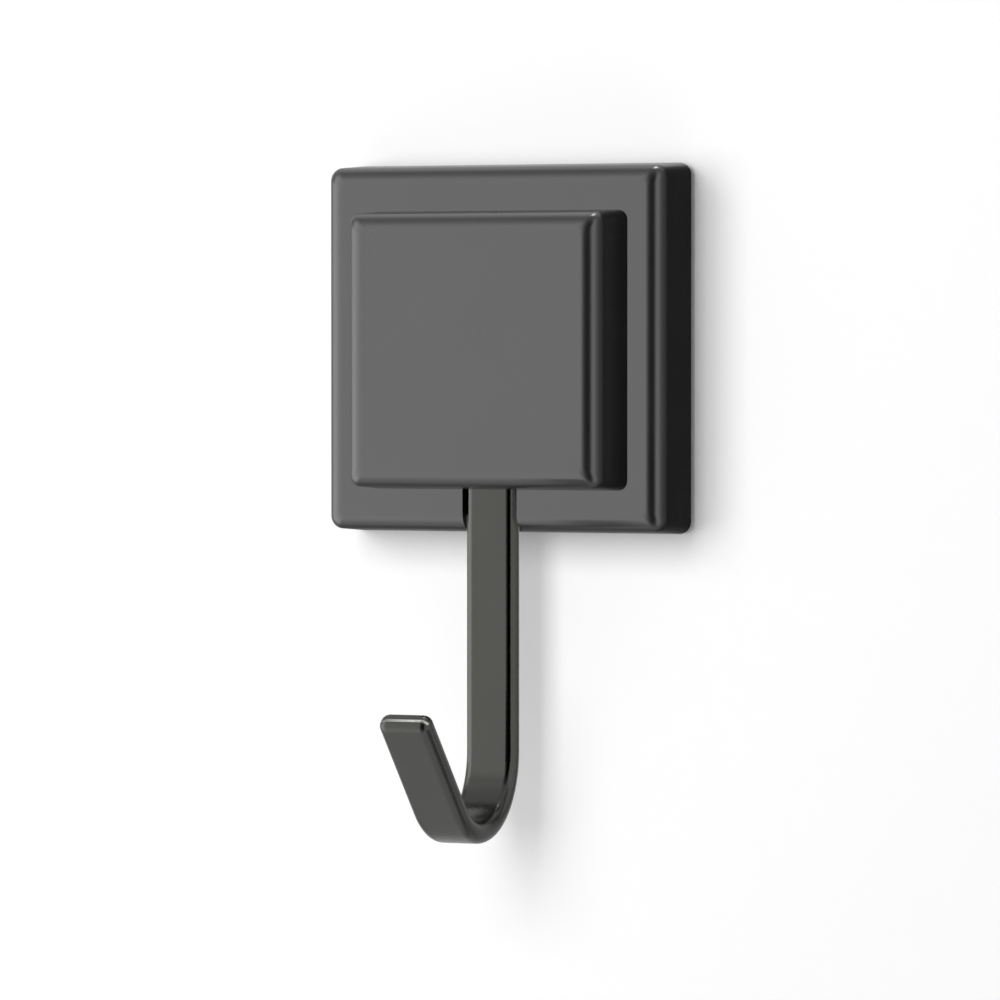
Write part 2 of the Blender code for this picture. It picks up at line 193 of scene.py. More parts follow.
def tile_rows(side, back, face, rounding, corner):
    """Depth, half width and corner radius of a drafted tile's rings, from open back to rounded face."""
    centre = face - rounding
    tangent = centre + rounding * math.sin(DRAFT)
    reach = side / 2 - (tangent - back) * math.tan(DRAFT) - rounding * math.cos(DRAFT)
    rows = [(back, side / 2, corner)]
    for step in range(ROUND_STEPS + 1):
        tilt = DRAFT + (math.pi / 2 - DRAFT) * step / ROUND_STEPS
        share = 1 - math.cos(tilt) / math.cos(DRAFT)
        out = centre + rounding * math.sin(tilt)
        rows.append((out, reach + rounding * math.cos(tilt), corner + (FACE_CORNER - corner) * share))
    return rows


def rim_rows(side, back, wall, inner_corner, corner):
    """The rings round a tile's rim, from its inner edge to its outer edge, both edges slightly rounded."""
    rows = []
    for step in range(RIM_STEPS + 1):
        angle = math.pi / 2 * step / RIM_STEPS
        fall = RIM_ROUND * (1 - math.sin(angle))
        draw = RIM_ROUND * (1 - math.cos(angle))
        rows.append((back + fall, side / 2 - wall + draw, inner_corner + draw))
    for step in range(RIM_STEPS):
        angle = math.pi / 2 * step / RIM_STEPS
        fall = RIM_ROUND * (1 - math.cos(angle))
        draw = RIM_ROUND * (1 - math.sin(angle))
        rows.append((back + fall, side / 2 - draw, corner - draw))
    return rows


def tile_shell(name, side, back, face, wall, rounding, corner, x=0.0, z=0.0):
    """A hollow tile, open at the back: its inside from floor to rim, then rim, side, rounding and face."""
    inner = tile_rows(side - 2 * wall, back + RIM_ROUND, face - wall, INNER_ROUND, INNER_ROUND)
    outer = tile_rows(side, back + RIM_ROUND, face, rounding, corner)
    rows = inner[:0:-1] + rim_rows(side, back, wall, INNER_ROUND, corner) + outer
    return loft(name, [square_ring(*row, x, z) for row in rows])


def rod(name, radius, start, end, x, z):
    """A cylinder between two depths."""
    rings = []
    for depth in (start, end):
        turns = [2 * math.pi * step / HOLE_STEPS for step in range(HOLE_STEPS)]
        rings.append([(x + radius * math.cos(t), -depth, z + radius * math.sin(t)) for t in turns])
    return loft(name, rings)


def block(name, width, start, end, bottom, top):
    """A box between two depths and two heights, in line with the bar."""
    corners = ((-width / 2, bottom), (width / 2, bottom), (width / 2, top), (-width / 2, top))
    return loft(name, [[(BAR_X + x, -depth, z) for x, z in corners] for depth in (start, end)])


def combine(thing, tools, operation):
    """Joins or cuts with each tool in turn, and keeps only the result."""
    for tool in tools:
        step = thing.modifiers.new(tool.name, "BOOLEAN")
        step.operation = operation
        step.solver = "EXACT"
        step.object = tool
    settled = thing.evaluated_get(bpy.context.evaluated_depsgraph_get())
    mesh = bpy.data.meshes.new_from_object(settled)
    thing.modifiers.clear()
    thing.data = mesh
    for tool in tools:
        bpy.data.objects.remove(tool, do_unlink=True)


def round_edges(thing, width):
    """Rounds the sharp edges that cutting has left."""
    step = thing.modifiers.new("edges", "BEVEL")
    step.width = width
    step.segments = EDGE_STEPS
    step.limit_method = "ANGLE"
    step.angle_limit = SHARP


def smooth(thing):
    """Smooth shading that keeps flat faces flat and sharp edges sharp."""
    thing.data.shade_smooth()
    thing.data.set_sharp_from_angle(angle=SHARP)
    step = thing.modifiers.new("normals", "WEIGHTED_NORMAL")
    step.keep_sharp = True
    step.weight = LARGE_FACE_WEIGHT


def dress(thing, material, slot, *replaced):
    """Gives a piece its finish, ties it to the body and hides the imported nodes that it stands in for."""
    thing.data.materials.clear()
    thing.data.materials.append(material)
    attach(thing, "root")
    if replaced:
        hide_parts(*replaced)


def make_plate(material):
    """The hollow plate with its channel, bosses, pin holes and screw holes."""
    side = PLATE_HIGH.x - PLATE_LOW.x
    plate = tile_shell("plate_shell", side, PLATE_BACK, PLATE_FACE, PLATE_WALL, PLATE_ROUND, PLATE_CORNER)
    inside = PLATE_FACE - PLATE_WALL / 2
    channel_width = 2 * (BAR_HALF_WIDTH + CHANNEL_SIDE_GAP)
    channel_top = BAR_HIGH.z + FIT_GAP
    trough_width = channel_width + 2 * CHANNEL_WALL
    trough_bottom = PLATE_LOW.z + PLATE_WALL / 2
    trough_top = channel_top + CHANNEL_WALL
    joined = [block("trough", trough_width, TROUGH_PLANE, inside, trough_bottom, trough_top)]
    boss_start = COVER_FACE + FIT_GAP
    for node in BACK_SCREWS:
        joined.append(rod("boss_" + node, BOSS_RADIUS, boss_start, inside, *middle(node)))
    combine(plate, joined, "UNION")
    past_face = PLATE_FACE + OVERRUN
    past_edge = PLATE_LOW.z - OVERRUN
    cut = [block("channel", channel_width, CHANNEL_PLANE, past_face, past_edge, channel_top)]
    bore_start = boss_start - OVERRUN
    bore_end = boss_start + BOSS_BORE_DEPTH
    for node in BACK_SCREWS:
        cut.append(rod("bore_" + node, BOSS_BORE, bore_start, bore_end, *middle(node)))
    hole_start = TROUGH_PLANE - OVERRUN
    hole_end = CHANNEL_PLANE + OVERRUN
    for node in CLAMP_SCREWS:
        cut.append(rod("hole_" + node, CLAMP_BORE, hole_start, hole_end, *middle(node)))
    pin_hole = PIN_RADIUS + FIT_GAP
    for number, (x, z) in enumerate(pin_places(), 1):
        cut.append(rod(f"pin_hole_{number}", pin_hole, inside - PLATE_WALL, past_face, x, z))
    combine(plate, cut, "DIFFERENCE")
    round_edges(plate, LIP_ROUND)
    smooth(plate)
    dress(plate, material, "housing_plastic", "plate_housing")


def pin_places():
    """The two corners of the block that have a locating pin."""
    reach = (BLOCK_HIGH.x - BLOCK_LOW.x) / 2 - PIN_INSET
    return [(BLOCK_X - reach, BLOCK_Z + reach), (BLOCK_X + reach, BLOCK_Z - reach)]


def make_block(material):
    """The hollow block with its bosses, locating pins and the slot that the bar leaves by."""
    side = BLOCK_HIGH.x - BLOCK_LOW.x
    shape = (side, BLOCK_BACK, BLOCK_FACE, BLOCK_WALL, BLOCK_ROUND, BLOCK_CORNER)
    made = tile_shell("block_shell", *shape, BLOCK_X, BLOCK_Z)
    inside = BLOCK_FACE - BLOCK_WALL / 2
    joined = []
    for node in CLAMP_SCREWS:
        joined.append(rod("boss_" + node, CLAMP_BOSS_RADIUS, BLOCK_SEAT, inside, *middle(node)))
    for number, (x, z) in enumerate(pin_places(), 1):
        joined.append(rod(f"pin_{number}", PIN_RADIUS, PLATE_FACE - PIN_REACH, inside, x, z))
    combine(made, joined, "UNION")
    cut = []
    bore_start = BLOCK_SEAT - OVERRUN
    bore_end = BLOCK_SEAT + CLAMP_BORE_DEPTH
    for node in CLAMP_SCREWS:
        cut.append(rod("bore_" + node, CLAMP_BORE, bore_start, bore_end, *middle(node)))
    slot_width = 2 * (BAR_HALF_WIDTH + FIT_GAP)
    slot_start = BLOCK_BACK - OVERRUN
    slot_bottom = BLOCK_LOW.z - OVERRUN
    slot_top = BLOCK_LOW.z + BLOCK_WALL + OVERRUN
    cut.append(block("bar_slot", slot_width, slot_start, BLOCK_SEAT, slot_bottom, slot_top))
    combine(made, cut, "DIFFERENCE")
    smooth(made)
    dress(made, material, "housing_plastic", "front_block")


def bar_path():
    """Points of the bar's centre line: depth, height, and the angle by which it has turned from down."""
    line = []
    top = BAR_HIGH.z - BAR_ROUND
    for step in range(STEM_STEPS + 1):
        share = step / STEM_STEPS
        line.append((BAR_MIDDLE, top - share * (top + STEM_DROP), 0.0))
    sweep = math.pi - ARM_LEAN
    for step in range(1, BEND_STEPS + 1):
        angle = sweep * step / BEND_STEPS
        depth = BAR_MIDDLE + BEND_RADIUS * (1 - math.cos(angle))
        line.append((depth, -STEM_DROP - BEND_RADIUS * math.sin(angle), angle))
    depth, height, angle = line[-1]
    for step in range(1, ARM_STEPS + 1):
        along = (ARM_LENGTH - BAR_ROUND) * step / ARM_STEPS
        line.append((depth + along * math.sin(angle), height - along * math.cos(angle), angle))
    return line


def bar_ring(depth, height, angle, rounding):
    """The bar's section, its corners rounded about the same four centres whatever the rounding."""
    points = []
    flat_x = BAR_HALF_WIDTH - BAR_ROUND
    flat_y = BAR_THICKNESS / 2 - BAR_ROUND
    for quarter, (side, level) in enumerate(((1, 1), (-1, 1), (-1, -1), (1, -1))):
        for step in range(SECTION_STEPS + 1):
            turn = math.pi / 2 * (quarter + step / SECTION_STEPS)
            across = side * flat_x + rounding * math.cos(turn)
            out = level * flat_y + rounding * math.sin(turn)
            place = (BAR_X + across, -(depth + out * math.cos(angle)), height + out * math.sin(angle))
            points.append(place)
    return points


def make_bar(material):
    """The flat bar swept along its line, its ends rounded like its edges, with its two screw holes."""
    line = bar_path()
    start_depth, start_height, start_angle = line[0]
    end_depth, end_height, end_angle = line[-1]
    rings = []
    for step in range(SECTION_STEPS, 0, -1):
        turn = math.pi / 2 * step / SECTION_STEPS
        height = start_height + BAR_ROUND * math.sin(turn)
        rings.append(bar_ring(start_depth, height, start_angle, BAR_ROUND * math.cos(turn)))
    rings += [bar_ring(*point, BAR_ROUND) for point in line]
    for step in range(1, SECTION_STEPS + 1):
        turn = math.pi / 2 * step / SECTION_STEPS
        along = BAR_ROUND * math.sin(turn)
        depth = end_depth + along * math.sin(end_angle)
        height = end_height - along * math.cos(end_angle)
        rings.append(bar_ring(depth, height, end_angle, BAR_ROUND * math.cos(turn)))
    bar = loft("bar", rings)
    holes = []
    hole_start = BAR_BACK - OVERRUN
    hole_end = BAR_BACK + BAR_THICKNESS + OVERRUN
    for node in CLAMP_SCREWS:
        holes.append(rod("hole_" + node, CLAMP_BORE, hole_start, hole_end, *middle(node)))
    combine(bar, holes, "DIFFERENCE")
    smooth(bar)
    dress(bar, material, "bar_steel", "hook_bar")


def make_pad(material):
    """The foam pad: flat against wall and cover, its edge slightly barrelled and not quite straight."""
    side = PAD_HIGH.x - PAD_LOW.x
    thickness = PAD_HIGH.y - PAD_LOW.y
    rings = []
    for step in range(PAD_STEPS + 1):
        share = step / PAD_STEPS
        half = side / 2 - PAD_BULGE * (2 * share - 1) ** 2
        rings.append(pad_ring(-PAD_HIGH.y + thickness * share, half, share))
    pad = loft("foam_pad", rings)
    smooth(pad)
    dress(pad, material, "pad_foam", "adhesive_pad")


def pad_ring(depth, half, share):
    """One ring of the pad, its straight sides cut a little wavy."""
    points = []
    for x, _, z in fine_square(half, PAD_CORNER):
        turn = math.atan2(z, x)
        wave = PAD_WAVE * math.sin(PAD_WAVES * turn + 2 * math.pi * share) - PAD_WAVE
        points.append((x * (1 + wave / half), -depth, z * (1 + wave / half)))
    return points


def fine_square(half, corner):
    """A rounded square with points along its straight sides too."""
    ring = square_ring(0.0, half, corner, 0.0, 0.0)
    points = []
    for here, there in zip(ring, ring[1:] + ring[:1]):
        gap = (Vector(there) - Vector(here)).length
        steps = PAD_SIDE_STEPS if gap > corner else 1
        for step in range(steps):
            points.append(Vector(here).lerp(Vector(there), step / steps))
    return points


# Sockets of a Mix node that mixes colours
MIX_FIRST = 6
MIX_SECOND = 7
MIX_RESULT = 2


def fill(tree, socket, value):
    """Sets a socket to a number, or links the result of another node to it."""
    if isinstance(value, (int, float)):
        socket.default_value = value
    else:
        tree.links.new(value, socket)


def math_node(tree, operation, *values):
    """The result of one sum on numbers or other results."""
    step = tree.nodes.new("ShaderNodeMath")
    step.operation = operation
    for socket, value in zip(step.inputs, values):
        fill(tree, socket, value)
    return step.outputs["Value"]


def map_range(tree, value, low, high, to_low=0.0, to_high=1.0, interpolation="LINEAR"):
    """A value stretched from one range to another, and held at its ends."""
    step = tree.nodes.new("ShaderNodeMapRange")
    step.interpolation_type = interpolation
    numbers = {"From Min": low, "From Max": high, "To Min": to_low, "To Max": to_high}
    for name, number in numbers.items():
        step.inputs[name].default_value = number
    tree.links.new(value, step.inputs["Value"])
    return step.outputs["Result"]


def fade(tree, value, low, high, to_low=0.0, to_high=1.0):
    """The same with soft ends."""
    return map_range(tree, value, low, high, to_low, to_high, "SMOOTHSTEP")


def blend(tree, factor, first, second):
    """A number between two others."""
    step = tree.nodes.new("ShaderNodeMix")
    fill(tree, step.inputs["A"], first)
    fill(tree, step.inputs["B"], second)
    tree.links.new(factor, step.inputs["Factor"])
    return step.outputs["Result"]


# The range in which most of a noise lies, and how sharply a cell either has a dot or hasn't, as a share
NOISE_MIDDLE = (0.3, 0.7)
DOT_CUT = 0.99


class Finish:
    """A Principled material that varies over its surface, by the object's own coordinates in metres."""

    def __init__(self, name, roughness, metallic=0.0, specular=0.5):
        self.material = bpy.data.materials.new(name)
        self.material.use_nodes = True
        self.tree = self.material.node_tree
        self.nodes = self.tree.nodes
        self.links = self.tree.links
        self.shader = self.nodes["Principled BSDF"]
        self.shader.inputs["Roughness"].default_value = roughness
        self.shader.inputs["Metallic"].default_value = metallic
        self.shader.inputs["Specular IOR Level"].default_value = specular
        self.place = self.nodes.new("ShaderNodeTexCoord").outputs["Object"]
        self.normal = None

    def texture(self, kind, size):
        """A texture node whose pattern has the given size in metres."""
        mapping = self.nodes.new("ShaderNodeMapping")
        mapping.inputs["Scale"].default_value = [1 / size] * 3
        texture = self.nodes.new(kind)
        texture.inputs["Scale"].default_value = 1
        self.links.new(self.place, mapping.inputs["Vector"])
        self.links.new(mapping.outputs["Vector"], texture.inputs["Vector"])
        return texture

    def noise(self, size, detail=2.0):
        """Noise whose blotches are about one size across."""
        texture = self.texture("ShaderNodeTexNoise", size)
        texture.inputs["Detail"].default_value = detail
        return texture.outputs["Fac"]

    def dots(self, spacing, radius, share):
        """Scattered dots, 1 inside and 0 outside: a share of the cells of a grid have one."""
        texture = self.texture("ShaderNodeTexVoronoi", spacing)
        near = self.ranged(texture.outputs["Distance"], 0, radius / spacing, 1, 0)
        split = self.nodes.new("ShaderNodeSeparateColor")
        self.links.new(texture.outputs["Color"], split.inputs["Color"])
        chosen = self.ranged(split.outputs["Red"], share, share * DOT_CUT, 0, 1)
        return math_node(self.tree, "MULTIPLY", near, chosen)

    def ranged(self, value, low, high, to_low, to_high):
        """A value stretched from one range to another."""
        return map_range(self.tree, value, low, high, to_low, to_high)

    def mix(self, factor, first, second):
        """A colour between two others, which are colours or the results of other steps."""
        step = self.nodes.new("ShaderNodeMix")
        step.data_type = "RGBA"
        self.links.new(factor, step.inputs["Factor"])
        for number, colour in ((MIX_FIRST, first), (MIX_SECOND, second)):
            if isinstance(colour, tuple):
                step.inputs[number].default_value = (*colour, 1)
            else:
                self.links.new(colour, step.inputs[number])
        return step.outputs[MIX_RESULT]

    def distance(self, origin, direction):
        """How far a place lies from an origin along a direction, in metres."""
        product = self.nodes.new("ShaderNodeVectorMath")
        product.operation = "DOT_PRODUCT"
        product.inputs[1].default_value = direction
        self.links.new(self.place, product.inputs[0])
        return math_node(self.tree, "SUBTRACT", product.outputs["Value"], origin.dot(direction))

    def least(self, first, *others):
        """The least of several values."""
        for other in others:
            first = math_node(self.tree, "MINIMUM", first, other)
        return first

    def colour(self, result):
        """Gives the surface its colour."""
        self.links.new(result, self.shader.inputs["Base Color"])

    def roughness(self, result):
        """Gives the surface its roughness."""
        self.links.new(result, self.shader.inputs["Roughness"])

    def bump(self, height, depth):
        """Adds relief of the given depth in metres."""
        step = self.nodes.new("ShaderNodeBump")
        step.inputs["Distance"].default_value = depth
        self.links.new(height, step.inputs["Height"])
        if self.normal is not None:
            self.links.new(self.normal, step.inputs["Normal"])
        self.normal = step.outputs["Normal"]
        self.links.new(self.normal, self.shader.inputs["Normal"])


# For all the finishes: colours and roughness come in pairs between which a finish varies, sizes of noise
# and depths of relief are in metres, and dust is its dots' spacing, radius and share of cells with one

# Housing plastic
HOUSING_COLOURS = ((0.009, 0.009, 0.0092), (0.0125, 0.0125, 0.0127))
HOUSING_ROUGHNESS = (0.23, 0.28)
HOUSING_SPECULAR = 0.62
HOUSING_CLOUD_SIZE = 0.014
HOUSING_GRAIN_SIZE = 0.00016
HOUSING_GRAIN_DEPTH = 0.0000012
HOUSING_DUST = (0.0022, 0.0001, 0.14)
HOUSING_DUST_COLOUR = (0.09, 0.09, 0.088)


def housing_finish():
    """Satin black moulded plastic: faint flow marks, a fine grain and a little dust."""
    finish = Finish("housing_plastic", roughness=0.3, specular=HOUSING_SPECULAR)
    clouds = finish.noise(HOUSING_CLOUD_SIZE, detail=3.0)
    body = finish.mix(clouds, *HOUSING_COLOURS)
    dust = finish.dots(*HOUSING_DUST)
    finish.colour(finish.mix(dust, body, HOUSING_DUST_COLOUR))
    finish.roughness(finish.ranged(clouds, *NOISE_MIDDLE, *HOUSING_ROUGHNESS))
    finish.bump(finish.noise(HOUSING_GRAIN_SIZE), HOUSING_GRAIN_DEPTH)
    return finish.material


# Bar steel
BAR_COLOURS = ((0.0322, 0.0322, 0.0300), (0.0368, 0.0368, 0.0346))
BAR_CLOUD_SIZE = 0.009
BAR_GLOSSY = (0.12, 0.17)
BAR_RUBBED = (0.25, 0.31)
BAR_WAVE_SIZE = 0.0012
BAR_WAVE_DEPTH = 0.000012
BAR_GRAIN_SIZE = 0.0003
BAR_GRAIN_DEPTH = 0.000016
BAR_DUST = (0.0011, 0.00004, 0.2)
BAR_DUST_COLOUR = (0.14, 0.14, 0.13)

# Depths between which the coat turns from glossy to rubbed
RUBBED_FROM = (0.0134, 0.021)

# Worn line on the bar's tip, a lighter colour that is worn metal and also a painted highlight: it is made
# stronger towards the right, where the glint falls. Where it starts along the arm, how far it lies off the
# bar's middle plane on the outer side, its width, its strength at the left edge and on the right, the share
# of the half width at which it has the latter, and the patches that break it up
TIP_WEAR_AND_HIGHLIGHT_COLOUR = (0.5, 0.49, 0.47)
TIP_LINE_START = 0.0008
TIP_LINE_OFFSET = 0.0004
TIP_LINE_WIDTH = 0.0003
TIP_LINE_STRENGTH = (0.05, 1)
TIP_LINE_FULL_AT = 0.8
TIP_LINE_PATCH_SIZE = 0.0013
TIP_LINE_PATCH_RANGE = (0.36, 0.56)
TIP_LINE_PATCH_STRENGTH = (0.3, 1)


def tip_wear_and_highlight(finish):
    """How much of the worn line and its painted highlight a place on the bar has: 1 along the line's
    middle, 0 off it.
    """
    depth, height, angle = bar_path()[-1]
    tip = Vector((BAR_X, -depth, height))
    along = finish.distance(tip, Vector((0, -math.sin(angle), -math.cos(angle))))
    across = finish.distance(tip, Vector((0, -math.cos(angle), math.sin(angle))))
    sideways = finish.distance(tip, Vector((1, 0, 0)))
    patches = finish.noise(TIP_LINE_PATCH_SIZE, detail=3.0)
    line = -TIP_LINE_OFFSET
    return finish.least(
        finish.ranged(along, TIP_LINE_START, TIP_LINE_START + TIP_LINE_WIDTH, 0, 1),
        finish.ranged(across, line - TIP_LINE_WIDTH, line, 0, 1),
        finish.ranged(across, line, line + TIP_LINE_WIDTH, 1, 0),
        finish.ranged(sideways, -BAR_HALF_WIDTH, BAR_HALF_WIDTH * TIP_LINE_FULL_AT, *TIP_LINE_STRENGTH),
        finish.ranged(patches, *TIP_LINE_PATCH_RANGE, *TIP_LINE_PATCH_STRENGTH),
    )


def bar_finish():
    """Steel under a thin dark coat: glossy on the stem, rubbed duller on the arm, worn at the tip, with a
    painted highlight on the worn line.
    """
    finish = Finish("bar_steel", roughness=0.2, metallic=1.0)
    clouds = finish.noise(BAR_CLOUD_SIZE, detail=3.0)
    body = finish.mix(clouds, *BAR_COLOURS)
    speckled = finish.mix(finish.dots(*BAR_DUST), body, BAR_DUST_COLOUR)
    # The tip's lighter line is worn metal and a painted highlight, stronger to the right where the glint
    # falls
    finish.colour(finish.mix(tip_wear_and_highlight(finish), speckled, TIP_WEAR_AND_HIGHLIGHT_COLOUR))
    glossy = finish.ranged(clouds, *NOISE_MIDDLE, *BAR_GLOSSY)
    rubbed = finish.ranged(clouds, *NOISE_MIDDLE, *BAR_RUBBED)
    depth = finish.distance(Vector((0, 0, 0)), Vector((0, -1, 0)))
    handled = finish.ranged(depth, *RUBBED_FROM, 0, 1)
    finish.roughness(finish.mix(handled, glossy, rubbed))
    finish.bump(finish.noise(BAR_WAVE_SIZE, detail=1.0), BAR_WAVE_DEPTH)
    finish.bump(finish.noise(BAR_GRAIN_SIZE), BAR_GRAIN_DEPTH)
    return finish.material


# Back plate plastic
COVER_COLOURS = ((0.016, 0.016, 0.016), (0.024, 0.024, 0.024))
COVER_GRAIN_SIZE = 0.0004
COVER_GRAIN_DEPTH = 0.00001


def cover_finish():
    """The back plate's plainer black plastic."""
    finish = Finish("cover_plastic", roughness=0.5)
    grain = finish.noise(COVER_GRAIN_SIZE, detail=3.0)
    finish.colour(finish.mix(grain, *COVER_COLOURS))
    finish.bump(grain, COVER_GRAIN_DEPTH)
    return finish.material


# Pad foam
FOAM_COLOURS = ((0.17, 0.17, 0.175), (0.21, 0.21, 0.215))
FOAM_CLOUD_SIZE = 0.012
FOAM_CELL_SIZE = 0.00035
FOAM_CELL_DEPTH = 0.00008
# Painted shade in the cells' hollows: the range of the cell noise over which it comes in, and its colour
FOAM_PIT_SHADE_RANGE = (0.42, 0.34)
FOAM_PIT_SHADE_COLOUR = (0.09, 0.09, 0.095)


def foam_finish():
    """Grey foam: matt, with fine cells that show as hollows, darkened by painted shade."""
    finish = Finish("pad_foam", roughness=0.85, specular=0.3)
    cells = finish.noise(FOAM_CELL_SIZE, detail=3.0)
    clouds = finish.noise(FOAM_CLOUD_SIZE)
    pale = finish.mix(clouds, *FOAM_COLOURS)
    # Painted shade: the foam is made darker where its cells dip in
    pit_shade = finish.ranged(cells, *FOAM_PIT_SHADE_RANGE, 0, 1)
    finish.colour(finish.mix(pit_shade, pale, FOAM_PIT_SHADE_COLOUR))
    finish.bump(cells, FOAM_CELL_DEPTH)
    return finish.material


# Screw zinc
ZINC_COLOURS = ((0.52, 0.53, 0.54), (0.66, 0.66, 0.64))
ZINC_ROUGHNESS = (0.28, 0.42)
ZINC_CLOUD_SIZE = 0.0012
ZINC_GRAIN_SIZE = 0.0002
ZINC_GRAIN_DEPTH = 0.000004


def zinc_finish():
    """Zinc-plated steel, a little blotchy and finely grained."""
    finish = Finish("screw_zinc", roughness=0.35, metallic=1.0)
    clouds = finish.noise(ZINC_CLOUD_SIZE, detail=3.0)
    finish.colour(finish.mix(clouds, *ZINC_COLOURS))
    finish.roughness(finish.ranged(clouds, *NOISE_MIDDLE, *ZINC_ROUGHNESS))
    finish.bump(finish.noise(ZINC_GRAIN_SIZE), ZINC_GRAIN_DEPTH)
    return finish.material


def keep_nodes(material, names):
    """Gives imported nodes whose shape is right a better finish."""
    for name in names:
        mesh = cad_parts[name].data
        mesh.materials.clear()
        mesh.materials.append(material)


# Stage
WALL_GAP = 0.0002
WALL_HALF = 1.6
FLOOR_DROP = 0.9
FLOOR_HALF = 3.0
STAGE_WHITE = 0.92

# How much the stage's paint glows where it shows, and how far from the hook it passes into plain white
STAGE_GLOW = 0.04
STAGE_PAINT_REACH = (0.14, 0.3)


def seen_rays(tree):
    """1 for rays that show the background itself: camera, glossy and transmission rays."""
    path = tree.nodes.new("ShaderNodeLightPath")
    total = path.outputs["Is Camera Ray"]
    for name in ("Is Glossy Ray", "Is Transmission Ray"):
        total = math_node(tree, "MAXIMUM", total, path.outputs[name])
    return total


def mixed(tree, factor, first, second):
    """A shader between two others."""
    step = tree.nodes.new("ShaderNodeMixShader")
    tree.links.new(factor, step.inputs["Fac"])
    tree.links.new(first, step.inputs[1])
    tree.links.new(second, step.inputs[2])
    return step.outputs["Shader"]


def stage_material():
    """White paint near the hook, plain white far from it, and clear from behind so as not to hide it."""
    made = bpy.data.materials.new("stage_white")
    made.use_nodes = True
    made.cycles.emission_sampling = "NONE"
    tree = made.node_tree
    nodes = tree.nodes
    links = tree.links
    nodes.remove(nodes["Principled BSDF"])
    seen = seen_rays(tree)

    paint = nodes.new("ShaderNodeBsdfDiffuse")
    paint.inputs["Color"].default_value = (STAGE_WHITE, STAGE_WHITE, STAGE_WHITE, 1)
    glow = nodes.new("ShaderNodeEmission")
    links.new(map_range(tree, seen, 0, 1 / STAGE_GLOW), glow.inputs["Strength"])
    lit = nodes.new("ShaderNodeAddShader")
    links.new(paint.outputs["BSDF"], lit.inputs[0])
    links.new(glow.outputs["Emission"], lit.inputs[1])

    place = nodes.new("ShaderNodeNewGeometry")
    distance = nodes.new("ShaderNodeVectorMath")
    distance.operation = "LENGTH"
    links.new(place.outputs["Position"], distance.inputs[0])
    far = map_range(tree, distance.outputs["Value"], *STAGE_PAINT_REACH)
    plain = nodes.new("ShaderNodeEmission")
    far_and_seen = math_node(tree, "MULTIPLY", far, seen)
    front = mixed(tree, far_and_seen, lit.outputs["Shader"], plain.outputs["Emission"])
    clear = nodes.new("ShaderNodeBsdfTransparent")
    whole = mixed(tree, place.outputs["Backfacing"], front, clear.outputs["BSDF"])
    links.new(whole, nodes["Material Output"].inputs["Surface"])
    return made


def make_stage():
    """The wall that the pad sticks to, and a floor far below."""
    material = stage_material()
    upright = (math.pi / 2, 0, 0)
    level = (0, 0, 0)
    for name, half, place, turn in (
        ("wall", WALL_HALF, (0, WALL_GAP, 0), upright),
        ("floor", FLOOR_HALF, (0, 0, -FLOOR_DROP), level),
    ):
        bpy.ops.mesh.primitive_plane_add(size=2 * half, location=place, rotation=turn)
        thing = bpy.context.object
        thing.name = name
        thing.data.materials.append(material)
        thing.visible_glossy = False


def heights(*elevations):
    """How high directions of some elevations in degrees reach on a sphere of radius 1."""
    return [math.sin(math.radians(elevation)) for elevation in elevations]


# Brightness of the even light that falls on everything
AMBIENT = 0.22

# What the gloss reflects level with the hook, by azimuth in degrees and brightness: a bright left, a dark
# end of the room behind the camera and a bright right
AROUND = [
    (-180, 0.1),
    (-150, 0.25),
    (-128, 0.4),
    (-110, 0.75),
    (-88, 3.0),
    (-66, 3.6),
    (-44, 3.0),
    (-30, 2.8),
    (-21, 2.8),
    (2, 0.3),
    (14, 0.0),
    (38, 0.0),
    (54, 2.3),
    (64, 2.5),
    (76, 1.5),
    (90, 0.75),
    (118, 0.35),
    (145, 0.03),
    (180, 0.1),
]

# Brightness of the far left higher up, the azimuth that it reaches to, and the heights in which it comes in
LEFT_AWAY = 0.8
LEFT_UP_TO = -76
LEFT_EDGE = heights(3.5, 11)

# Brightness overhead and underfoot: the values of y, on a sphere of radius 1, between which it turns from
# one level to another, both levels, and the heights in which the sides pass into them
ABOVE_TURN = (-0.12, 0.28)
ABOVE = (0.75, 1.5)
ABOVE_EDGE = heights(26, 80)
BELOW_TURN = (0.1, 0.5)
BELOW = (0.9, 0.25)
BELOW_EDGE = heights(-86, -42)


def profile(tree, azimuth, levels):
    """Brightness by azimuth, with a soft step from each level to the next."""
    total = levels[0][1]
    for (start, low), (end, high) in zip(levels, levels[1:]):
        if low != high:
            step = fade(tree, azimuth, math.radians(start), math.radians(end), 0, high - low)
            total = math_node(tree, "ADD", step, total)
    return total


